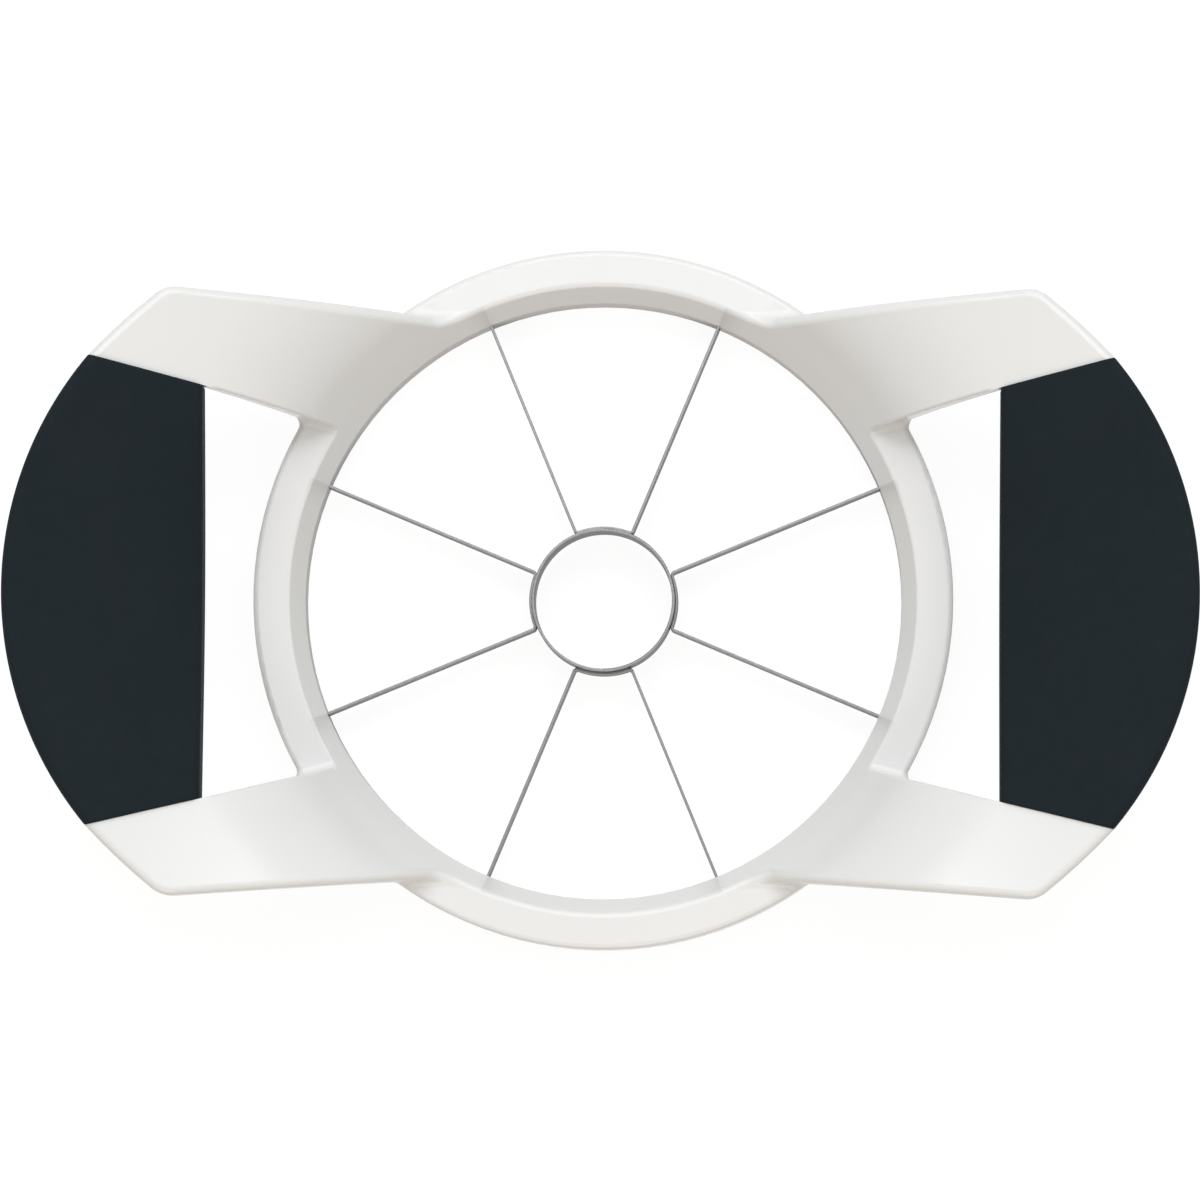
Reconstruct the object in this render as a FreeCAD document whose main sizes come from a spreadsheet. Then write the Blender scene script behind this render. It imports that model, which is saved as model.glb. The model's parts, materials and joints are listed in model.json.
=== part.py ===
import FreeCAD, Part
import math
import os
import re

import Sketcher
from FreeCAD import Placement, Rotation, Vector

# Apple slicer and corer, pushed down by hand: a moulded ring with four arms that
# rise to two handles, a soft grip round each handle bar, a corer tube and four
# bent steel strips whose legs are the eight blades.
# Millimetres. +Z up, +X along the handles, the origin on the table under the
# centre of the ring. The model is symmetric about the XZ and YZ planes.

SIZES = [
    # ring: flat top band, sloped rim inside it, upright bore wall under the rim
    ("ring_radius", 60.0),
    ("ring_height", 14.0),
    ("band_width", 6.2),
    ("rim_width", 2.5),
    ("rim_slope", 65.0),
    ("rim_round", 1.0),
    ("foot_round", 0.8),
    # underside of the moulding: open channel in the ring, hollow arms, ribs
    ("wall_thickness", 2.4),
    ("channel_roof", 2.8),
    ("channel_rib_angle", 3.6),
    ("arm_skin", 2.4),
    ("arm_rib_reach", 13.0),
    ("arm_rib", 1.8),
    # flare: the arm surface leaves the rim at its slope and turns over outwards
    ("flare_radius", 40.2),
    ("shoulder_slope", 20.0),
    ("crown_radius", 200.0),
    ("arm_depth", 6.5),
    # plan of the arm in the first quadrant: bearings of its inner root on the ridge and
    # its outer root on the hub, and how far past the ring its tip reaches
    ("root_inner_bearing", 32.7),
    ("root_outer_bearing", 66.07),
    ("tip_reach", 13.7),
    ("arm_tip_y", 51.6),
    ("arm_end_radius", 110.0),
    ("arm_tip_fillet", 5.0),
    ("arm_merge_fillet", 35.0),
    ("arm_foot_fillet", 1.5),
    ("arm_edge_round", 1.2),
    ("opening_edge_round", 0.6),
    # handle: its outer arc, its corners, its inner edge and the bar inside
    ("handle_reach", 40.9),
    ("handle_radius", 62.3),
    ("handle_corner_y", 39.75),
    ("finger_gap", 7.6),
    ("handle_inner_y", 35.05),
    ("opening_fillet", 2.0),
    ("bar_thickness", 4.0),
    ("bar_hole_radius", 3.0),
    ("bar_hole_pitch", 20.0),
    # soft grip over the bar
    ("grip_proud", 0.6),
    ("grip_depth", 12.0),
    ("grip_cover", 2.4),
    ("grip_end_round", 0.5),
    ("grip_edge_round", 1.4),
    ("grip_palm_round", 3.5),
    # corer tube and bent strips
    ("edge_lift", 1.0),
    ("corer_radius", 11.8),
    ("corer_wall", 0.5),
    ("corer_height", 11.0),
    ("steel_round", 0.12),
    ("strip_thickness", 0.5),
    ("strip_height", 7.5),
    ("strip_bend", 0.35),
    ("strip_embed", 4.4),
    ("strip_pin_radius", 1.0),
    ("bevel_height", 1.4),
    ("bevel_land", 0.15),
]
BLADES = 8

# Places that follow from the sizes. The arms start from a hub that stays inside the
# ridge by more than their foot fillet, so that the fillet leaves no lip on the band.
PLACES = {
    "ridge_radius": "ring_radius - band_width",
    "bore_radius": "ring_radius - band_width - rim_width",
    "arm_root_inner": "ridge_radius * sin(root_inner_bearing)",
    "hub_radius": "ridge_radius - 1.2 * arm_foot_fillet",
    "arm_root_outer": "hub_radius * sin(root_outer_bearing)",
    "arm_tip_x": "ring_radius + tip_reach",
    "arm_rib_radius": "ring_radius + arm_rib_reach",
    "handle_centre": "ring_radius + handle_reach - handle_radius",
    "handle_inner_x": "ring_radius + finger_gap",
}

doc = FreeCAD.newDocument("apple_slicer")


def make_sheet():
    """Spreadsheet with one aliased cell for each size."""
    book = doc.addObject("Spreadsheet::Sheet", "Sizes")
    for row, (alias, size) in enumerate(SIZES, start=1):
        book.set("A%d" % row, alias)
        book.set("B%d" % row, str(size))
        book.setAlias("B%d" % row, alias)
    doc.recompute()
    return book


sheet = make_sheet()
ALIAS = re.compile(r"\b(%s)\b" % "|".join(alias for alias, size in SIZES))
PLACE = re.compile(r"\b(%s)\b" % "|".join(PLACES))


def linked(text):
    """An expression in size and place names, as an expression on the spreadsheet."""
    while PLACE.search(text):
        text = PLACE.sub(lambda found: "(%s)" % PLACES[found.group()], text)
    return ALIAS.sub(r"Sizes.\1", text)


def number(text):
    """Present value of an expression in size and place names."""
    result = sheet.evalExpression(linked(text))
    return float(getattr(result, "Value", result))


def bind(target, prop, text):
    """Drive a property of an object from the spreadsheet."""
    target.setExpression(prop, linked(text))


# Derived places, as expressions. The flare is an arc about (FLARE_X, FLARE_Z) that
# leaves the ridge at rim_slope and meets the crown arc at shoulder_slope.
RIM_FOOT = "(ring_height - (ridge_radius - bore_radius) * tan(rim_slope))"
FLARE_X = "(ridge_radius + flare_radius * sin(rim_slope))"
FLARE_Z = "(ring_height - flare_radius * cos(rim_slope))"
CROWN_X = "(%s + (crown_radius - flare_radius) * sin(shoulder_slope))" % FLARE_X
CROWN_Z = "(%s - (crown_radius - flare_radius) * cos(shoulder_slope))" % FLARE_Z
REACH = "(handle_centre + handle_radius + wall_thickness)"
CEILING = "(ring_height + ring_radius)"
ROOT_INNER_X = "(ridge_radius * cos(root_inner_bearing))"
ROOT_OUTER_X = "(hub_radius * cos(root_outer_bearing))"
HANDLE_CORNER_X = "(handle_centre + sqrt(handle_radius ^ 2 - handle_corner_y ^ 2))"
GRIP_EXTRA = "(2 * grip_palm_round)"
HANDLE_MIDDLE = "((handle_inner_x + handle_centre + handle_radius) / 2)"

CORER_OUTER = "(corer_radius + corer_wall)"
STRIP_END = "(bore_radius + strip_embed)"
HALF_STEP = "(180 deg / %d)" % BLADES


def flare_height(radius, drop="0"):
    """Height of the flare arc, lowered square to itself by drop, at a radius."""
    return "(%s + sqrt((flare_radius - (%s)) ^ 2 - (%s - (%s)) ^ 2))" % (
        FLARE_Z, drop, FLARE_X, radius)


def crown_height(radius, drop="0"):
    """Height of the crown arc, lowered square to itself by drop, at a radius."""
    return "(%s + sqrt((crown_radius - (%s)) ^ 2 - (%s - (%s)) ^ 2))" % (
        CROWN_Z, drop, CROWN_X, radius)


def shoulder(drop="0"):
    """Radius and height where the lowered flare and crown arcs meet."""
    return ("(%s - (flare_radius - (%s)) * sin(shoulder_slope))" % (FLARE_X, drop),
            "(%s + (flare_radius - (%s)) * cos(shoulder_slope))" % (FLARE_Z, drop))


def arm_height(radius):
    """Present height of the arm surface at a radius."""
    if radius < number(shoulder()[0]):
        return number(flare_height(str(max(radius, number("ridge_radius")))))
    return number(crown_height(str(radius)))


# ---------------------------------------------------------------- sketches

def origin_plane(body, role):
    """One of the body's own origin planes."""
    return next(f for f in body.Origin.OriginFeatures if f.Role == role)


def body_sketch(body, name, role):
    """Empty sketch of a body on its XY or XZ plane."""
    sketch = body.newObject("Sketcher::SketchObject", name)
    sketch.AttachmentSupport = (origin_plane(body, role), [""])
    sketch.MapMode = "FlatFace"
    return sketch


def free_sketch(name, upright=False):
    """Empty sketch outside any body, on the XY plane or standing on XZ."""
    sketch = doc.addObject("Sketcher::SketchObject", name)
    if upright:
        sketch.Placement = Placement(Vector(), Rotation(Vector(1, 0, 0), 90))
    return sketch


def pin_point(sketch, side, end, x, y):
    """Hold a point of a side at two expressions, or on an axis where one is 0."""
    for kind, axis, text in (("DistanceX", -2, x), ("DistanceY", -1, y)):
        if text == "0":
            sketch.addConstraint(Sketcher.Constraint("PointOnObject", side, end, axis))
        else:
            index = sketch.addConstraint(
                Sketcher.Constraint(kind, -1, 1, side, end, number(text)))
            bind(sketch, "Constraints[%d]" % index, text)


def arc_between(start, end, radius, turn):
    """Arc under half a turn from start to end, turning left (1) or right (-1)."""
    chord = end.sub(start)
    middle = start.add(end).multiply(0.5)
    rise = math.sqrt(max(radius ** 2 - chord.Length ** 2 / 4, 0))
    left = Vector(-chord.y, chord.x, 0).normalize()
    centre = middle.add(left.multiply(turn * rise))
    first, last = (start, end) if turn > 0 else (end, start)
    angles = [math.atan2(p.y - centre.y, p.x - centre.x) for p in (first, last)]
    circle = Part.Circle(centre, Vector(0, 0, 1), radius)
    return Part.ArcOfCircle(circle, angles[0], angles[1])


def outline(sketch, corners):
    """Closed chain of sides. A corner is (x, y) with a straight side after it, or
    (x, y, radius, turn) with an arc after it."""
    points = [Vector(number(c[0]), number(c[1]), 0) for c in corners]
    ends = []
    for i, corner in enumerate(corners):
        start, end = points[i], points[(i + 1) % len(points)]
        if len(corner) == 2:
            side = sketch.addGeometry(Part.LineSegment(start, end), False)
            ends.append((side, 1, 2))
            continue
        radius, turn = corner[2], corner[3]
        side = sketch.addGeometry(arc_between(start, end, number(radius), turn), False)
        ends.append((side, 1, 2) if turn > 0 else (side, 2, 1))
        index = sketch.addConstraint(Sketcher.Constraint("Radius", side, number(radius)))
        bind(sketch, "Constraints[%d]" % index, radius)
    for i, (side, first, last) in enumerate(ends):
        following = ends[(i + 1) % len(ends)]
        sketch.addConstraint(
            Sketcher.Constraint("Coincident", side, last, following[0], following[1]))
        pin_point(sketch, side, first, corners[i][0], corners[i][1])


def flipped(x, y, across_x, across_y):
    """A corner mirrored into another quadrant."""
    return (x if across_x or x == "0" else "-(%s)" % x,
            y if across_y or y == "0" else "-(%s)" % y)


# ---------------------------------------------------------------- features

def pad(body, sketch, length, name):
    """Pad a sketch upwards."""
    feature = body.newObject("PartDesign::Pad", name)
    feature.Profile = sketch
    bind(feature, "Length", length)
    doc.recompute()
    return feature


def pocket(body, sketch, name):
    """Cut a sketch right through above its plane."""
    feature = body.newObject("PartDesign::Pocket", name)
    feature.Profile = sketch
    feature.Type = "ThroughAll"
    feature.Reversed = True
    doc.recompute()
    return feature


def turned(body, sketch, kind, name, angle="360"):
    """Revolve a sketch of the XZ plane about Z; kind is Revolution or Groove."""
    feature = body.newObject("PartDesign::%s" % kind, name)
    feature.Profile = sketch
    feature.ReferenceAxis = (sketch, ["V_Axis"])
    bind(feature, "Angle", angle)
    if angle != "360":
        feature.Midplane = True
    doc.recompute()
    return feature


def edge_names(feature, wanted):
    """Names of the edges of a feature that pass a test."""
    return ["Edge%d" % i for i, edge in enumerate(feature.Shape.Edges, start=1)
            if wanted(edge)]


def fillet(body, feature, wanted, radius, name):
    """Fillet the edges of a feature that pass a test."""
    names = edge_names(feature, wanted)
    rounded = body.newObject("PartDesign::Fillet", name)
    rounded.Base = (feature, names)
    bind(rounded, "Radius", radius)
    doc.recompute()
    return rounded


def upright_at(x, y):
    """Test for the vertical edges at a corner and its mirrored places."""
    place = (number(x), number(y))

    def wanted(edge):
        box = edge.BoundBox
        point = edge.Vertexes[0].Point
        return (box.XLength < 1e-6 and box.YLength < 1e-6
                and math.hypot(abs(point.x) - place[0], abs(point.y) - place[1]) < 0.01)
    return wanted


def middle(edge):
    """Point halfway along an edge."""
    return edge.valueAt((edge.FirstParameter + edge.LastParameter) / 2)


# ---------------------------------------------------------------- frame

def arm_plan(sketch):
    """Hub, four arms and both handles, with the two hand openings."""
    corner = (HANDLE_CORNER_X, "handle_corner_y")
    tip = ("arm_tip_x", "arm_tip_y")
    root = (ROOT_OUTER_X, "arm_root_outer")
    right_up = [corner + ("arm_end_radius", 1), tip, root + ("hub_radius", 1)]
    left_up = [root, tip + ("arm_end_radius", 1), corner + ("handle_radius", 1)]
    left_down = [corner + ("arm_end_radius", 1), tip, root + ("hub_radius", 1)]
    right_down = [root, tip + ("arm_end_radius", 1), corner + ("handle_radius", 1)]
    sides = []
    for part, across_x, across_y in ((right_up, True, True), (left_up, False, True),
                                     (left_down, False, False), (right_down, True, False)):
        for item in part:
            sides.append(flipped(item[0], item[1], across_x, across_y) + item[2:])
    outline(sketch, sides)
    inner = (ROOT_INNER_X, "arm_root_inner")
    grip = ("handle_inner_x", "handle_inner_y")
    outline(sketch, [inner, grip, flipped(*grip, True, False),
                     flipped(*inner, True, False) + ("ridge_radius", 1)])
    outline(sketch, [flipped(*inner, False, False), flipped(*grip, False, False),
                     flipped(*grip, False, True),
                     flipped(*inner, False, True) + ("ridge_radius", 1)])


def ring_profile(sketch):
    """Half section of the solid ring blank with rounded outer edges."""
    outline(sketch, [
        ("0", "0"),
        ("ring_radius - foot_round", "0", "foot_round", 1),
        ("ring_radius", "foot_round"),
        ("ring_radius", "ring_height - rim_round", "rim_round", 1),
        ("ring_radius - rim_round", "ring_height"),
        ("0", "ring_height")])


def above_profile(sketch):
    """Section of the space inside the bore and above the rim, flare and crown."""
    edge = shoulder()
    outline(sketch, [
        ("0", "0"),
        ("bore_radius", "0"),
        ("bore_radius", RIM_FOOT),
        ("ridge_radius", "ring_height", "flare_radius", -1),
        edge + ("crown_radius", -1),
        (REACH, crown_height(REACH)),
        (REACH, CEILING),
        ("0", CEILING)])


def below_profile(sketch, start, drop):
    """Section of the space under the flare and crown lowered by drop, from a radius
    outwards."""
    edge = shoulder(drop)
    outline(sketch, [
        (start, "0"),
        (REACH, "0"),
        (REACH, crown_height(REACH, drop), "crown_radius - (%s)" % drop, 1),
        edge + ("flare_radius - (%s)" % drop, 1),
        (start, flare_height(start, drop))])


def channel_profile(sketch):
    """Section of the channel under the ring, its inner corner parallel to the rim."""
    inner = "(bore_radius + wall_thickness)"
    outer = "(ring_radius - wall_thickness)"
    roof = "(ring_height - channel_roof)"
    slope_r = "(ridge_radius + wall_thickness * sin(rim_slope))"
    slope_z = "(ring_height - wall_thickness * cos(rim_slope))"
    outline(sketch, [
        (inner, "0"),
        (outer, "0"),
        (outer, roof),
        ("%s - (%s - %s) / tan(rim_slope)" % (slope_r, slope_z, roof), roof),
        (inner, "%s - (%s - %s) * tan(rim_slope)" % (slope_z, slope_r, inner))])


def at_foot(edge):
    """Test for the straight edges where the arm walls stand on the ring's band."""
    height = number("ring_height")
    box = edge.BoundBox
    centre = edge.CenterOfMass
    return (edge.Curve.TypeId == "Part::GeomLine"
            and abs(box.ZMin - height) < 1e-5 and abs(box.ZMax - height) < 1e-5
            and math.hypot(centre.x, centre.y) < number("ring_radius"))


def on_rim(edge):
    """Test for the edges along the arm surface, without the seams of the turned cut. The
    fillets of these edges run on along the ridge."""
    points = [vertex.Point for vertex in edge.Vertexes] + [middle(edge)]
    for point in points:
        radius = math.hypot(point.x, point.y)
        if radius < number("ridge_radius") - 0.01:
            return False
        if abs(point.z - arm_height(radius)) > 0.01:
            return False
    return edge.BoundBox.ZLength > 1e-5 and edge.Curve.TypeId != "Part::GeomCircle"


def at_opening(edge):
    """Test for the rim edges round the two hand openings."""
    x0, y0 = number(ROOT_INNER_X), number("arm_root_inner")
    x1, y1 = number("handle_inner_x"), number("handle_inner_y")
    point = middle(edge)
    limit = y0 + (abs(point.x) - x0) * (y1 - y0) / (x1 - x0)
    return on_rim(edge) and abs(point.x) < x1 + 0.01 and abs(point.y) < limit + 0.01


def at_arm(edge):
    """Test for the other rim edges, without the handle arcs that the grips replace."""
    point = middle(edge)
    on_handle = (abs(point.x) > number(HANDLE_CORNER_X)
                 and abs(point.y) < number("handle_corner_y"))
    return on_rim(edge) and not at_opening(edge) and not on_handle


def handle_gap(sketch):
    """Plan of the two places where the grips take over from the white arms. Inside
    the opening it follows the arm's inner edge."""
    slope = "((handle_inner_y - arm_root_inner) / (handle_inner_x - %s))" % ROOT_INNER_X
    half = [
        (REACH, "handle_corner_y"),
        (HANDLE_CORNER_X, "handle_corner_y"),
        ("handle_inner_x", "handle_inner_y"),
        ("(handle_inner_x - wall_thickness)",
         "(handle_inner_y - wall_thickness * %s)" % slope)]
    for across_x in (True, False):
        upper = [flipped(x, y, across_x, True) for x, y in half]
        lower = [flipped(x, y, across_x, False) for x, y in reversed(half)]
        outline(sketch, upper + lower)


def make_shell():
    """Ring and arms as one moulding, without the arm hollows and handle bars."""
    body = doc.addObject("PartDesign::Body", "frame_shell")
    plan = body_sketch(body, "arm_plan", "XY_Plane")
    arm_plan(plan)
    feature = pad(body, plan, CEILING, "arm_blank")
    for x, y, radius, name in (
            ("arm_tip_x", "arm_tip_y", "arm_tip_fillet", "tip_fillet"),
            (ROOT_OUTER_X, "arm_root_outer", "arm_merge_fillet", "merge_fillet"),
            ("handle_inner_x", "handle_inner_y", "opening_fillet", "corner_fillet")):
        feature = fillet(body, feature, upright_at(x, y), radius, name)
    section = body_sketch(body, "ring_section", "XZ_Plane")
    ring_profile(section)
    feature = turned(body, section, "Revolution", "ring_blank")
    feature = fillet(body, feature, at_foot, "arm_foot_fillet", "foot_fillet")
    section = body_sketch(body, "above_section", "XZ_Plane")
    above_profile(section)
    feature = turned(body, section, "Groove", "bore_and_flare")
    section = body_sketch(body, "below_section", "XZ_Plane")
    below_profile(section, "ring_radius", "arm_depth")
    feature = turned(body, section, "Groove", "arm_underside")
    feature = fillet(body, feature, at_arm, "arm_edge_round", "outer_rim")
    feature = fillet(body, feature, at_opening, "opening_edge_round", "opening_rim")
    gap = body_sketch(body, "handle_gap", "XY_Plane")
    handle_gap(gap)
    pocket(body, gap, "grip_pocket")
    section = body_sketch(body, "channel_section", "XZ_Plane")
    channel_profile(section)
    channel = turned(body, section, "Groove", "channel",
                     "360 / %d - channel_rib_angle" % BLADES)
    pattern = body.newObject("PartDesign::PolarPattern", "channels")
    pattern.Originals = [channel]
    pattern.Axis = (section, ["V_Axis"])
    pattern.Angle = 360
    pattern.Occurrences = BLADES
    body.Tip = pattern
    doc.recompute()
    return body


def hollow_plan(sketch):
    """Plan of one arm drawn on to the centre, before it is inset by the wall."""
    outline(sketch, [
        ("0", "0"),
        (ROOT_INNER_X, "arm_root_inner"),
        ("handle_inner_x", "handle_inner_y"),
        (HANDLE_CORNER_X, "handle_corner_y", "arm_end_radius", 1),
        ("arm_tip_x", "arm_tip_y"),
        (ROOT_OUTER_X, "arm_root_outer")])


def hollow_section(sketch):
    """Section of the arm hollows: one above the ring channel, then one to each side
    of the cross rib. The ring's outer wall stands between the first two."""
    edge = shoulder("arm_skin")
    rib_start = "(arm_rib_radius - arm_rib / 2)"
    rib_end = "(arm_rib_radius + arm_rib / 2)"
    skin = "flare_radius - arm_skin"
    for start, end in (("(bore_radius + wall_thickness)", "(ring_radius - wall_thickness)"),
                       ("ring_radius", rib_start)):
        outline(sketch, [
            (start, "0"),
            (end, "0"),
            (end, flare_height(end, "arm_skin"), skin, 1),
            (start, flare_height(start, "arm_skin"))])
    outline(sketch, [
        (rib_end, "0"),
        (REACH, "0"),
        (REACH, crown_height(REACH, "arm_skin"), "crown_radius - arm_skin", 1),
        edge + (skin, 1),
        (rib_end, flare_height(rib_end, "arm_skin"))])


def prism(sketch, height, name):
    """Straight extrusion of a free sketch."""
    solid = doc.addObject("Part::Extrusion", name)
    solid.Base = sketch
    solid.DirMode = "Custom"
    solid.Dir = Vector(0, 0, 1)
    solid.Solid = True
    bind(solid, "LengthFwd", height)
    return solid


def revolved(sketch, name):
    """Full turn of a free upright sketch about Z."""
    solid = doc.addObject("Part::Revolution", name)
    solid.Source = sketch
    solid.Axis = Vector(0, 0, 1)
    solid.Angle = 360
    solid.Solid = True
    return solid


def joined(kind, shapes, name):
    """Part::MultiFuse or Part::MultiCommon of several objects."""
    solid = doc.addObject("Part::%s" % kind, name)
    solid.Shapes = shapes
    return solid


def cut(base, tool, name):
    """Part::Cut of two objects."""
    solid = doc.addObject("Part::Cut", name)
    solid.Base = base
    solid.Tool = tool
    return solid


def mirrored(source, normal, name):
    """Mirror image of an object in a plane through the origin."""
    image = doc.addObject("Part::Mirroring", name)
    image.Source = source
    image.Base = Vector()
    image.Normal = normal
    return image


def make_hollows():
    """The four hollows that open downwards under the arms."""
    plan = free_sketch("hollow_plan")
    hollow_plan(plan)
    inset = doc.addObject("Part::Offset2D", "hollow_inset")
    inset.Source = plan
    inset.Join = "Intersection"
    bind(inset, "Value", "-wall_thickness")
    section = free_sketch("hollow_section", upright=True)
    hollow_section(section)
    solids = [prism(inset, CEILING, "hollow_prism"), revolved(section, "hollow_turned")]
    first = joined("MultiCommon", solids, "hollow_first")
    across = mirrored(first, Vector(1, 0, 0), "hollow_across")
    pair = joined("MultiFuse", [first, across], "hollow_pair")
    return joined("MultiFuse", [pair, mirrored(pair, Vector(0, 1, 0), "hollow_back")],
                  "hollows")


def make_bar():
    """Handle bar at +X: a curved plate inside the grip with holes for its plugs."""
    plan = free_sketch("bar_plan")
    start = "(handle_inner_x + grip_cover)"
    slope = ("((handle_corner_y - handle_inner_y) / (%s - handle_inner_x))"
             % HANDLE_CORNER_X)
    half = [(x, "(handle_inner_y + (%s - handle_inner_x) * %s + wall_thickness / 2)"
             % (x, slope)) for x in (start, REACH)]
    outline(plan, [half[0], flipped(*half[0], True, False),
                   flipped(*half[1], True, False), half[1]])
    section = free_sketch("bar_section", upright=True)
    top = "grip_cover - grip_proud"
    bottom = "grip_cover - grip_proud + bar_thickness"
    begin = "(handle_inner_x - wall_thickness)"
    outline(section, [
        (begin, flare_height(begin, bottom), "flare_radius - (%s)" % bottom, -1),
        shoulder(bottom) + ("crown_radius - (%s)" % bottom, -1),
        (REACH, crown_height(REACH, bottom)),
        (REACH, crown_height(REACH, top), "crown_radius - (%s)" % top, 1),
        shoulder(top) + ("flare_radius - (%s)" % top, 1),
        (begin, flare_height(begin, top))])
    limit = doc.addObject("Part::Cylinder", "bar_limit")
    bind(limit, "Radius", "handle_radius - grip_cover")
    bind(limit, "Height", CEILING)
    bind(limit, "Placement.Base.x", "handle_centre")
    plate = joined("MultiCommon", [prism(plan, CEILING, "bar_prism"), limit,
                                   revolved(section, "bar_turned")], "bar_plate")
    holes = []
    for i in (-1, 0, 1):
        hole = doc.addObject("Part::Cylinder", "bar_hole")
        bind(hole, "Radius", "bar_hole_radius")
        bind(hole, "Height", CEILING)
        bind(hole, "Placement.Base.x", HANDLE_MIDDLE)
        bind(hole, "Placement.Base.y", "%d * bar_hole_pitch" % i)
        holes.append(hole)
    return cut(plate, joined("MultiFuse", holes, "bar_holes"), "bar")


def leg_point(along, aside, sign):
    """Point at a distance along a blade leg and a distance aside of its middle,
    towards the strip's own axis. Sign 1 is the upper leg and -1 the lower."""
    x = "((%s) * cos(%s) + (%s) * sin(%s))" % (along, HALF_STEP, aside, HALF_STEP)
    y = "((%s) * sin(%s) - (%s) * cos(%s))" % (along, HALF_STEP, aside, HALF_STEP)
    return x, y if sign > 0 else "-" + y


def strip_plan(sketch):
    """Plan of one bent strip: an arc round the corer tube and two radial legs."""
    half = "(strip_thickness / 2)"
    pivot = "(%s + strip_thickness + strip_bend)" % CORER_OUTER
    aside = "(strip_bend + strip_thickness / 2)"
    along = "sqrt(%s ^ 2 - %s ^ 2)" % (pivot, aside)
    spread = "(%s - asin(%s / %s))" % (HALF_STEP, aside, pivot)
    inner, outer = CORER_OUTER, "(%s + strip_thickness)" % CORER_OUTER

    def hug(radius, sign):
        x = "(%s * cos(%s))" % (radius, spread)
        y = "(%s * sin(%s))" % (radius, spread)
        return x, y if sign > 0 else "-" + y
    wide = "strip_bend + strip_thickness"
    outline(sketch, [
        hug(inner, -1) + (inner, 1),
        hug(inner, 1) + (wide, -1),
        leg_point(along, "-" + half, 1),
        leg_point(STRIP_END, "-" + half, 1),
        leg_point(STRIP_END, half, 1),
        leg_point(along, half, 1) + ("strip_bend", 1),
        hug(outer, 1) + (outer, -1),
        hug(outer, -1) + ("strip_bend", 1),
        leg_point(along, half, -1),
        leg_point(STRIP_END, half, -1),
        leg_point(STRIP_END, "-" + half, -1),
        leg_point(along, "-" + half, -1) + (wide, -1)])


def make_strip(name, quarter):
    """Bent strip turned by quarter turns, ground to an edge along its bottom and rounded
    along its top, with a hole near each end that the moulding locks into."""
    turn = Rotation(Vector(0, 0, 1), 90 * quarter)
    body = doc.addObject("PartDesign::Body", name + "_strip")
    plan = body_sketch(body, name + "_plan", "XY_Plane")
    strip_plan(plan)
    feature = pad(body, plan, "strip_height", name + "_pad")
    long_side = 2 * number("strip_thickness")
    bevel = body.newObject("PartDesign::Chamfer", name + "_bevel")
    bevel.Base = (feature, edge_names(
        feature, lambda edge: edge.BoundBox.ZMax < 1e-6 and edge.Length > long_side))
    bevel.ChamferType = "Two distances"
    bevel.FlipDirection = True
    bind(bevel, "Size", "(strip_thickness - bevel_land) / 2")
    bind(bevel, "Size2", "bevel_height")
    doc.recompute()
    top = number("strip_height")
    fillet(body, bevel, lambda edge: edge.BoundBox.ZMin > top - 1e-6
           and edge.Length > long_side, "steel_round", name + "_top")
    bind(body, "Placement.Base.z", "edge_lift")
    body.Placement.Rotation = turn
    pins = []
    for sign in (1, -1):
        bearing = 90 * quarter + sign * number(HALF_STEP)
        pin = doc.addObject("Part::Cylinder", name + "_pin")
        pin.Placement.Rotation = Rotation(Vector(0, 0, 1), bearing).multiply(
            Rotation(Vector(1, 0, 0), -90))
        bind(pin, "Radius", "strip_pin_radius")
        bind(pin, "Height", "4 * strip_thickness")
        reach = "(bore_radius + strip_embed / 2)"
        back = "(2 * strip_thickness)"
        spot = "%d deg + %d * %s" % (90 * quarter, sign, HALF_STEP)
        bind(pin, "Placement.Base.x",
             "%s * cos(%s) + %s * sin(%s)" % (reach, spot, back, spot))
        bind(pin, "Placement.Base.y",
             "%s * sin(%s) - %s * cos(%s)" % (reach, spot, back, spot))
        bind(pin, "Placement.Base.z", "edge_lift + (strip_height + bevel_height) / 2")
        pins.append(pin)
    return cut(body, joined("MultiFuse", pins, name + "_pins"), name)


def make_corer():
    """Corer tube, ground to an edge along its bottom and rounded along its top."""
    body = doc.addObject("PartDesign::Body", "corer_ring")
    section = body_sketch(body, "corer_section", "XZ_Plane")
    top = "edge_lift + corer_height"
    outline(section, [
        ("corer_radius", "edge_lift"),
        ("corer_radius + bevel_land", "edge_lift"),
        (CORER_OUTER, "edge_lift + bevel_height"),
        (CORER_OUTER, top + " - steel_round", "steel_round", 1),
        (CORER_OUTER + " - steel_round", top),
        ("corer_radius + steel_round", top, "steel_round", 1),
        ("corer_radius", top + " - steel_round")])
    turned(body, section, "Revolution", "corer_tube")
    return body


def grip_plan(sketch):
    """Plan of the right grip, drawn on past the arms by a length that is cut off after
    the long edges are rounded."""
    reach_y = "(handle_corner_y + %s)" % GRIP_EXTRA
    corner = ("(handle_centre + sqrt(handle_radius ^ 2 - %s ^ 2))" % reach_y, reach_y)
    inner = ("handle_inner_x", "(handle_inner_y + %s)" % GRIP_EXTRA)
    outline(sketch, [flipped(*corner, True, False) + ("handle_radius", 1), corner, inner,
                     flipped(*inner, True, False)])


def grip_ends_plan(sketch):
    """Plan of the two lengths beyond the faces where the grip meets the arms."""
    slope = ("((handle_corner_y - handle_inner_y) / (%s - handle_inner_x))"
             % HANDLE_CORNER_X)
    far = "(handle_corner_y + 2 * %s)" % GRIP_EXTRA
    near = [(x, "(handle_inner_y + (%s - handle_inner_x) * %s)" % (x, slope))
            for x in ("(handle_inner_x - wall_thickness)", REACH)]
    for across_y in (True, False):
        outline(sketch, [flipped(x, y, True, across_y) for x, y in
                         (near[0], near[1], (near[1][0], far), (near[0][0], far))])


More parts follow.
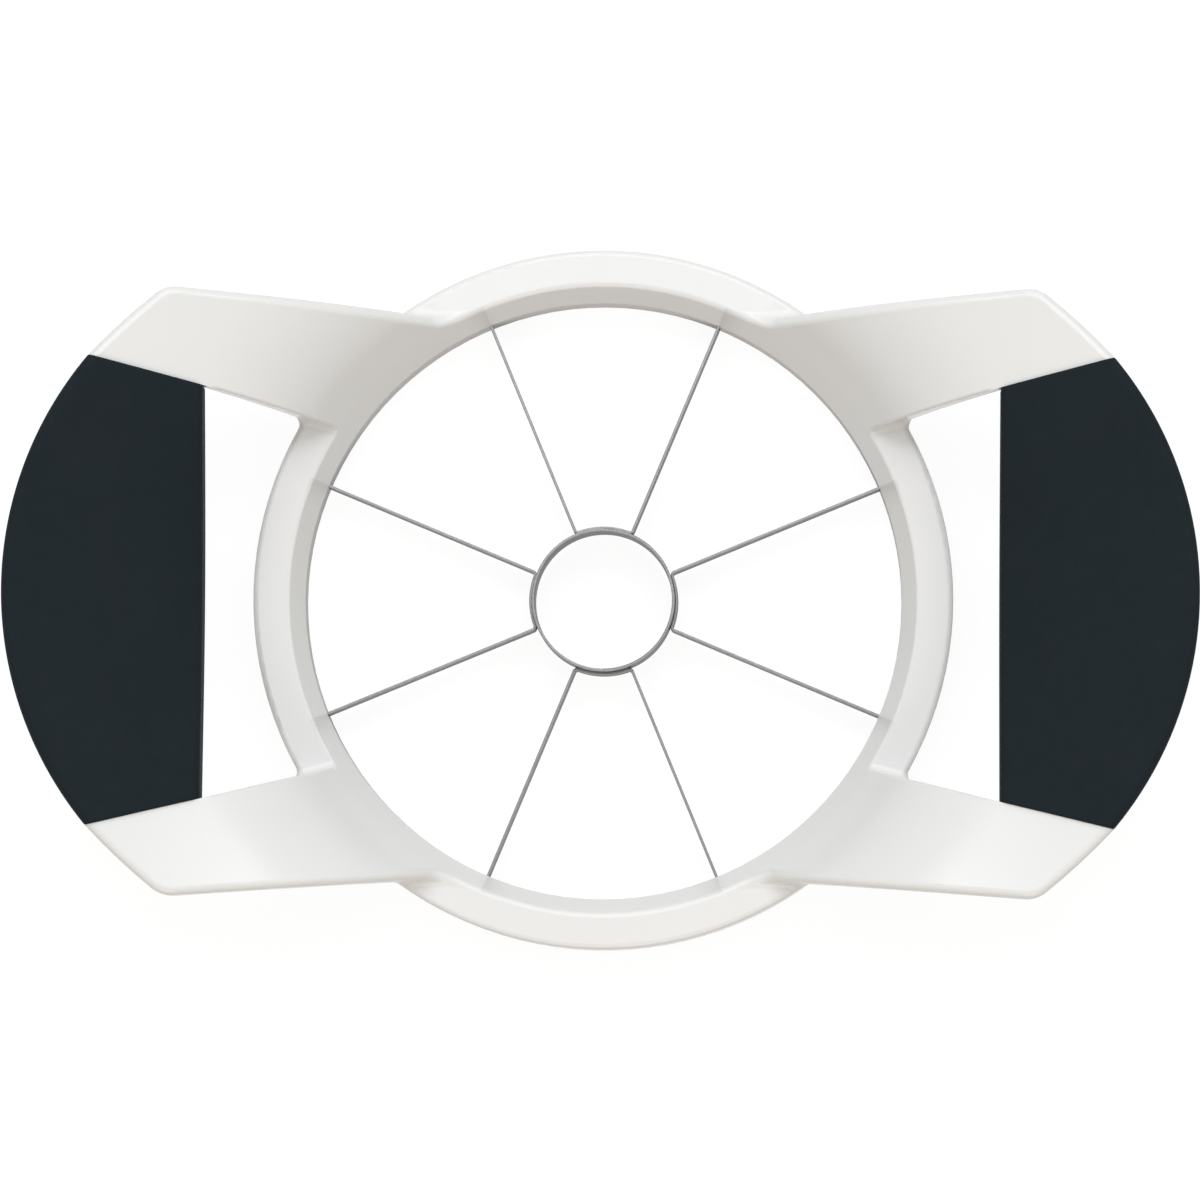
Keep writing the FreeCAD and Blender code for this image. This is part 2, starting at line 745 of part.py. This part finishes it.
def grip_over(sketch):
    """Section above the grip, which stands proud of the arm surface."""
    begin = "(handle_inner_x - wall_thickness)"
    proud = "-grip_proud"
    outline(sketch, [
        (begin, flare_height(begin, proud), "flare_radius + grip_proud", -1),
        shoulder(proud) + ("crown_radius + grip_proud", -1),
        (REACH, crown_height(REACH, proud)),
        (REACH, CEILING),
        (begin, CEILING)])


def along_grip(above):
    """Test for the long edges of the grip, above or below the arm surface."""
    def wanted(edge):
        point = middle(edge)
        outer = math.hypot(point.x - number("handle_centre"), point.y)
        on_side = (abs(outer - number("handle_radius")) < 0.02
                   or abs(point.x - number("handle_inner_x")) < 0.01)
        level = arm_height(math.hypot(point.x, point.y))
        return (on_side and edge.Length > number("handle_inner_y") / 2
                and (point.z > level) == above)
    return wanted


def round_grip_end(edge):
    """Test for the edges round the two faces that meet the arms."""
    x0, y0 = number("handle_inner_x"), number("handle_inner_y")
    x1, y1 = number(HANDLE_CORNER_X), number("handle_corner_y")
    point = middle(edge)
    across = (abs(point.y) - y0) * (x1 - x0) - (point.x - x0) * (y1 - y0)
    return abs(across) / math.hypot(x1 - x0, y1 - y0) < 0.02


def make_grip_block():
    """Right grip as a full block; the frame is taken out of it afterwards."""
    body = doc.addObject("PartDesign::Body", "grip_block")
    plan = body_sketch(body, "grip_plan", "XY_Plane")
    grip_plan(plan)
    feature = pad(body, plan, CEILING, "grip_pad")
    section = body_sketch(body, "grip_over", "XZ_Plane")
    grip_over(section)
    feature = turned(body, section, "Groove", "grip_top")
    section = body_sketch(body, "grip_under", "XZ_Plane")
    below_profile(section, "(handle_inner_x - wall_thickness)",
                  "grip_depth - grip_proud")
    feature = turned(body, section, "Groove", "grip_bottom")
    feature = fillet(body, feature, along_grip(True), "grip_edge_round", "grip_brow")
    feature = fillet(body, feature, along_grip(False), "grip_palm_round", "grip_palm")
    plan = body_sketch(body, "grip_ends_plan", "XY_Plane")
    grip_ends_plan(plan)
    feature = pocket(body, plan, "grip_cut")
    fillet(body, feature, round_grip_end, "grip_end_round", "grip_ends")
    return body


def build():
    """All eight pieces, in the order their shapes depend on each other."""
    strips = [make_strip(name, quarter) for quarter, name in enumerate(
        ("blade_right", "blade_back", "blade_left", "blade_front"))]
    corer = make_corer()
    bar = make_bar()
    white = joined("MultiFuse",
                   [make_shell(), bar, mirrored(bar, Vector(1, 0, 0), "bar_left")],
                   "frame_white")
    hollow = cut(white, make_hollows(), "frame_hollow")
    frame = cut(hollow, joined("MultiFuse", strips, "all_strips"), "frame")
    right = cut(make_grip_block(), frame, "grip_right")
    left = mirrored(right, Vector(1, 0, 0), "grip_left")
    doc.recompute()
    return [frame, left, right, corer] + strips


def check(pieces):
    """Stop before anything is written if an object or a piece has failed."""
    for item in doc.Objects:
        if "Invalid" in item.State or "Error" in item.State:
            raise RuntimeError("%s did not compute: %s" % (item.Name, item.State))
    for piece in pieces:
        shape = piece.Shape
        if shape.isNull() or not shape.isValid() or len(shape.Solids) != 1:
            raise RuntimeError("%s is not one sound solid" % piece.Label)


def export(pieces):
    """One STEP file for each piece, named by its label."""
    os.makedirs("parts", exist_ok=True)
    for piece in pieces:
        piece.Shape.exportStep("parts/%s.step" % piece.Label)
        print(piece.Label, round(piece.Shape.Volume, 1), "cubic mm")


pieces = build()
check(pieces)
export(pieces)
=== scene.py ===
"""Looks of the apple slicer and corer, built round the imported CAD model. Metres."""
import json
import math

import bpy
from mathutils import Matrix, Vector

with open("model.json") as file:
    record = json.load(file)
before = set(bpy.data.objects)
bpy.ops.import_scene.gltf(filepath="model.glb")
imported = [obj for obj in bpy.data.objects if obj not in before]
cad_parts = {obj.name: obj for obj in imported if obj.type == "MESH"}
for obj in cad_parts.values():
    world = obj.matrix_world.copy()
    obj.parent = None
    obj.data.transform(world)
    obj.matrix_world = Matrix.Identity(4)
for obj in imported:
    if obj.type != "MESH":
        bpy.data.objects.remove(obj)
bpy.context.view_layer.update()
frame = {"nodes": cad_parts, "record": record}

MM = 0.001

# ------------------------------------------------------------------ camera

# A long lens above the ring, a little to its right and its front.
CAMERA_PLACE = Vector((31.6, -78.4, 1514)) * MM
CAMERA_AIM = Vector((-0.5, -0.15, 14)) * MM
CAMERA_ROLL = math.radians(0.28)
LENS_MM = 263.14
SENSOR_MM = 36.0
CLIP_END = 20.0


def make_camera():
    """Camera over the ring with +Y up in its picture."""
    data = bpy.data.cameras.new("camera")
    data.lens = LENS_MM
    data.sensor_width = SENSOR_MM
    data.clip_end = CLIP_END
    camera = bpy.data.objects.new("camera", data)
    away = (CAMERA_PLACE - CAMERA_AIM).normalized()
    right = Vector((0, 1, 0)).cross(away).normalized()
    up = away.cross(right)
    turn = Matrix((right, up, away)).transposed().to_4x4()
    camera.matrix_world = (
        Matrix.Translation(CAMERA_PLACE) @ turn @ Matrix.Rotation(CAMERA_ROLL, 4, "Z"))
    bpy.context.scene.collection.objects.link(camera)
    bpy.context.scene.camera = camera


# ------------------------------------------------------------------ nodes

class Tree:
    """Short calls for building one node tree."""

    def __init__(self, owner):
        owner.use_nodes = True
        self.tree = owner.node_tree
        self.tree.nodes.clear()

    def add(self, kind, **settings):
        """New node with these settings."""
        node = self.tree.nodes.new(kind)
        for name, setting in settings.items():
            setattr(node, name, setting)
        return node

    def link(self, source, target):
        self.tree.links.new(source, target)

    def feed(self, term, socket):
        """Give a socket another node's output, a colour or a number."""
        if isinstance(term, bpy.types.NodeSocket):
            self.link(term, socket)
        elif isinstance(term, tuple):
            socket.default_value = (*term, 1)
        else:
            socket.default_value = term

    def math(self, operation, *terms):
        """Result of an operation on one or two outputs or numbers."""
        node = self.add("ShaderNodeMath", operation=operation)
        for socket, term in zip(node.inputs, terms):
            self.feed(term, socket)
        return node.outputs[0]

    def parts(self, coordinate):
        """X, Y and Z of a texture coordinate, such as Object or Normal. The object's own
        axes are those of the frame."""
        split = self.add("ShaderNodeSeparateXYZ")
        self.link(self.add("ShaderNodeTexCoord").outputs[coordinate], split.inputs[0])
        return split.outputs

    def seen(self):
        """1 for camera, glossy and transmission rays, which show the background."""
        path = self.add("ShaderNodeLightPath")
        glossy = self.math("MAXIMUM", path.outputs["Is Glossy Ray"],
                           path.outputs["Is Transmission Ray"])
        return self.math("MAXIMUM", path.outputs["Is Camera Ray"], glossy)

    def noise(self, scale, stretch=(1, 1, 1), detail=3.0, roughness=0.5):
        """Noise with about scale cells per metre of the object, and more along an axis
        that has a larger stretch."""
        place = self.add("ShaderNodeTexCoord")
        mapping = self.add("ShaderNodeMapping")
        mapping.inputs["Scale"].default_value = stretch
        self.link(place.outputs["Object"], mapping.inputs["Vector"])
        node = self.add("ShaderNodeTexNoise")
        node.inputs["Scale"].default_value = scale
        node.inputs["Detail"].default_value = detail
        node.inputs["Roughness"].default_value = roughness
        self.link(mapping.outputs["Vector"], node.inputs["Vector"])
        return node.outputs["Fac"]

    def blend(self, factor, low, high):
        """Colour between low and high."""
        node = self.add("ShaderNodeMix", data_type="RGBA")
        self.link(factor, node.inputs["Factor"])
        self.feed(low, node.inputs["A"])
        self.feed(high, node.inputs["B"])
        return node.outputs["Result"]

    def spread(self, value, ends, start=0.0, stop=1.0):
        """Value from start to stop as a number between two ends, and no further."""
        node = self.add("ShaderNodeMapRange")
        node.inputs["From Min"].default_value = start
        node.inputs["From Max"].default_value = stop
        node.inputs["To Min"].default_value = ends[0]
        node.inputs["To Max"].default_value = ends[1]
        self.link(value, node.inputs["Value"])
        return node.outputs["Result"]

    def bump(self, height, depth, strength):
        """Normal of a relief of this depth."""
        node = self.add("ShaderNodeBump")
        node.inputs["Strength"].default_value = strength
        node.inputs["Distance"].default_value = depth
        self.link(height, node.inputs["Height"])
        return node.outputs["Normal"]

    def surface(self, **constants):
        """Inputs of a Principled shader on the material output."""
        shader = self.add("ShaderNodeBsdfPrincipled")
        for name, constant in constants.items():
            self.feed(constant, shader.inputs[name.replace("_", " ")])
        self.show(shader.outputs[0])
        return shader.inputs

    def show(self, shader):
        """Make this shader the material's surface."""
        output = self.add("ShaderNodeOutputMaterial")
        self.link(shader, output.inputs["Surface"])


# ------------------------------------------------------------------ white plastic

WHITE_LOW, WHITE_HIGH = (0.785, 0.777, 0.757), (0.815, 0.807, 0.787)
WHITE_IOR = 1.46
WHITE_ROUGHNESS = (0.20, 0.28)
WHITE_SPECULAR, WALL_SPECULAR = 0.5, 0.1
WALL_ROUGHNESS = 0.65
STEP_SHADE_TONE = 0.90        # share of the white that is left in the painted shade past each blade
FLOW_SCALE, GLOSS_SCALE, SKIN_SCALE = 45, 260, 900
SKIN_DEPTH = 0.02 * MM

# The bore wall has radius 51.3 and ends at height 8.64, and the sloped rim above it ends
# at radius 53.8. Each radius here is a little larger, so that it takes in the whole face.
WALL_RADIUS = 51.4 * MM
WALL_TOP = 8.6 * MM
RIM_RADIUS = 54.3 * MM
BLADE_STEP = math.radians(45)
# Angle over which the painted shade past each blade fades towards the front.
STEP_SHADE_REACH = math.radians(4.5)


def axis_distance(tree, x, y):
    """Distance from the ring's axis."""
    squares = [tree.math("MULTIPLY", side, side) for side in (x, y)]
    return tree.math("SQRT", tree.math("ADD", *squares))


def painted_step_shade(tree):
    """1 along the line past each blade on the sloped rim, where the shade of a small step
    is painted, fading over a few degrees towards the front, and 0 elsewhere."""
    x, y, z = tree.parts("Object")
    bearing = tree.math("ARCTAN2", tree.math("ABSOLUTE", x), y)
    turn = tree.math("DIVIDE", tree.math("SUBTRACT", bearing, BLADE_STEP / 2), BLADE_STEP)
    line = tree.spread(tree.math("FRACT", turn), (1.0, 0.0), stop=STEP_SHADE_REACH / BLADE_STEP)
    on_rim = tree.math("MULTIPLY",
                       tree.math("LESS_THAN", axis_distance(tree, x, y), RIM_RADIUS),
                       tree.math("GREATER_THAN", z, WALL_TOP))
    return tree.math("MULTIPLY", line, on_rim)


def bore_wall(tree):
    """1 on the upright wall of the bore and 0 elsewhere."""
    x, y, z = tree.parts("Object")
    return tree.math("MULTIPLY",
                     tree.math("LESS_THAN", axis_distance(tree, x, y), WALL_RADIUS),
                     tree.math("LESS_THAN", z, WALL_TOP))


def white_plastic():
    """Glossy warm-white moulding with a very slight flow in its colour and skin, painted
    shade past each blade and a matte bore wall."""
    material = bpy.data.materials.new("white_plastic")
    tree = Tree(material)
    inputs = tree.surface(IOR=WHITE_IOR)
    tone = tree.add("ShaderNodeVectorMath", operation="SCALE")
    tree.link(tree.blend(tree.noise(FLOW_SCALE, detail=2.0), WHITE_LOW, WHITE_HIGH),
              tone.inputs[0])
    # Painted shade: the white is darkened along the line past each blade.
    tree.link(tree.spread(painted_step_shade(tree), (1.0, STEP_SHADE_TONE)), tone.inputs["Scale"])
    tree.link(tone.outputs[0], inputs["Base Color"])
    wall = bore_wall(tree)
    gloss = tree.spread(tree.noise(GLOSS_SCALE), WHITE_ROUGHNESS)
    tree.link(tree.math("MAXIMUM", gloss, tree.math("MULTIPLY", wall, WALL_ROUGHNESS)),
              inputs["Roughness"])
    tree.link(tree.spread(wall, (WHITE_SPECULAR, WALL_SPECULAR)),
              inputs["Specular IOR Level"])
    tree.link(tree.bump(tree.noise(SKIN_SCALE, detail=2.0), SKIN_DEPTH, strength=0.5),
              inputs["Normal"])
    return material


# ------------------------------------------------------------------ black grip

GRIP_LOW, GRIP_HIGH = (0.0068, 0.0118, 0.0150), (0.0098, 0.0153, 0.0190)
GRIP_ROUGHNESS = (0.66, 0.80)
GRIP_SPECULAR = 0.13
CLOUD_SCALE, WEAR_SCALE, GRAIN_SCALE = 70, 400, 3200
GRAIN_DEPTH = 0.04 * MM


def black_grip():
    """Matte soft-touch elastomer with a fine grain."""
    material = bpy.data.materials.new("black_grip")
    tree = Tree(material)
    inputs = tree.surface(Specular_IOR_Level=GRIP_SPECULAR)
    tree.link(tree.blend(tree.noise(CLOUD_SCALE, detail=4.0), GRIP_LOW, GRIP_HIGH),
              inputs["Base Color"])
    tree.link(tree.spread(tree.noise(WEAR_SCALE), GRIP_ROUGHNESS), inputs["Roughness"])
    tree.link(tree.bump(tree.noise(GRAIN_SCALE, detail=2.0), GRAIN_DEPTH, strength=0.6),
              inputs["Normal"])
    return material


# ------------------------------------------------------------------ blade steel

# Painted light and shade: the sides get a lighter base colour and the upward top a darker
# one.
LIT_SIDE_LOW, LIT_SIDE_HIGH = (0.28, 0.28, 0.275), (0.53, 0.53, 0.525)
SHADED_TOP_LOW, SHADED_TOP_HIGH = (0.175, 0.176, 0.172), (0.265, 0.266, 0.261)
STEEL_GRAZE = (0.24, 0.24, 0.24)    # tint of the steel seen along its sides
STEEL_ROUGHNESS = (0.38, 0.24)
SHADED_TOP_START, SHADED_TOP_FULL = 0.35, 0.95  # Z of the normal where the painted shade of the upward top begins and is whole
LINE_SCALE, LINE_STRETCH, FLECK_SCALE = 40, (1, 1, 120), 900
LINE_DEPTH = 0.02 * MM


def blade_steel():
    """Stainless strip: rolled sides with fine lines and a plainer rounded top. The base
    colour is chosen by which way the face points, painted light on the sides and painted
    shade on the top.
    """
    material = bpy.data.materials.new("blade_steel")
    tree = Tree(material)
    inputs = tree.surface(Metallic=1.0, Specular_Tint=STEEL_GRAZE)
    lines = tree.noise(LINE_SCALE, stretch=LINE_STRETCH, detail=5.0, roughness=0.7)
    # Painted shade on faces that point up, painted light on the sides.
    shaded_top = tree.spread(tree.parts("Normal")[2], (1.0, 0.0), SHADED_TOP_FULL, SHADED_TOP_START)
    colour = tree.blend(shaded_top, tree.blend(lines, LIT_SIDE_LOW, LIT_SIDE_HIGH),
                        tree.blend(tree.noise(FLECK_SCALE), SHADED_TOP_LOW, SHADED_TOP_HIGH))
    tree.link(colour, inputs["Base Color"])
    tree.link(tree.spread(lines, STEEL_ROUGHNESS), inputs["Roughness"])
    tree.link(tree.bump(lines, LINE_DEPTH, strength=0.5), inputs["Normal"])
    return material


def dress_nodes():
    """Give each CAD node the finish of its record slot."""
    finishes = {"white_plastic": white_plastic(), "black_grip": black_grip(),
                "blade_steel": blade_steel()}
    for part in frame["record"]["subparts"]:
        node = frame["nodes"][part["node"]]
        for slot in node.material_slots:
            slot.material = finishes[part["material_slot"]]


# ------------------------------------------------------------------ stage

FLOOR_HALF = 4.0
FLOOR_DROP = 0.02 * MM  # keeps the floor clear of the ring's foot
FLOOR_LIT = 0.16        # share of the floor's white that light and shadow make
FLOOR_GLOW = 0.90       # share that shows whatever the light
BOUNCE_COLOR = (0.35, 0.35, 0.35)
WORLD_LIGHT = (0.5122, 0.52, 0.4862)
WHITE = (1.0, 1.0, 1.0)
LAMPS = {               # place, width and depth, power, colour
    "key": ((0.0, 0.95, 1.65), (2.4, 0.6), 17.2, (0.98, 1.0, 1.10)),
    "top": ((-0.03, 0.36, 1.87), (0.4, 0.4), 1.9, (0.94, 1.0, 1.07)),
    "back": ((0.0, 1.73, 1.0), (1.2, 0.8), 6.2, (0.98, 1.0, 0.98)),
    "front": ((0.0, -1.73, 1.0), (1.2, 0.8), 7.2, (1.2, 1.0, 0.97)),
}


def floor_finish():
    """White that keeps the shadow, and is clear from below."""
    material = bpy.data.materials.new("floor")
    tree = Tree(material)
    seen = tree.seen()
    diffuse = tree.add("ShaderNodeBsdfDiffuse")
    tree.link(tree.blend(seen, BOUNCE_COLOR, (FLOOR_LIT,) * 3), diffuse.inputs["Color"])
    glow = tree.add("ShaderNodeEmission")
    tree.link(tree.math("MULTIPLY", seen, FLOOR_GLOW), glow.inputs["Strength"])
    both = tree.add("ShaderNodeAddShader")
    tree.link(diffuse.outputs[0], both.inputs[0])
    tree.link(glow.outputs[0], both.inputs[1])
    sided = tree.add("ShaderNodeMixShader")
    tree.link(tree.add("ShaderNodeNewGeometry").outputs["Backfacing"], sided.inputs[0])
    tree.link(both.outputs[0], sided.inputs[1])
    tree.link(tree.add("ShaderNodeBsdfTransparent").outputs[0], sided.inputs[2])
    tree.show(sided.outputs[0])
    return material


def make_floor():
    """Pale floor that the ring stands on."""
    mesh = bpy.data.meshes.new("floor")
    corners = [(x * FLOOR_HALF, y * FLOOR_HALF, -FLOOR_DROP)
               for x, y in ((-1, -1), (1, -1), (1, 1), (-1, 1))]
    mesh.from_pydata(corners, [], [(0, 1, 2, 3)])
    mesh.materials.append(floor_finish())
    floor = bpy.data.objects.new("floor", mesh)
    bpy.context.scene.collection.objects.link(floor)


def make_world():
    """Even surroundings, seen as plain white and lighting at a lower, warmer level."""
    world = bpy.data.worlds.new("studio")
    bpy.context.scene.world = world
    tree = Tree(world)
    background = tree.add("ShaderNodeBackground")
    tree.link(tree.blend(tree.seen(), WORLD_LIGHT, WHITE), background.inputs["Color"])
    output = tree.add("ShaderNodeOutputWorld")
    tree.link(background.outputs[0], output.inputs["Surface"])


def make_lights():
    """Soft boxes that all aim at the ring."""
    for name, (place, size, power, colour) in LAMPS.items():
        data = bpy.data.lights.new(name, "AREA")
        data.shape = "RECTANGLE"
        data.size, data.size_y = size
        data.energy = power
        data.color = colour
        lamp = bpy.data.objects.new(name, data)
        lamp.location = place
        lamp.rotation_euler = (-Vector(place)).to_track_quat("-Z", "Y").to_euler()
        bpy.context.scene.collection.objects.link(lamp)


make_camera()
make_floor()
make_world()
make_lights()
dress_nodes()
bpy.context.scene.view_settings.view_transform = "Standard"
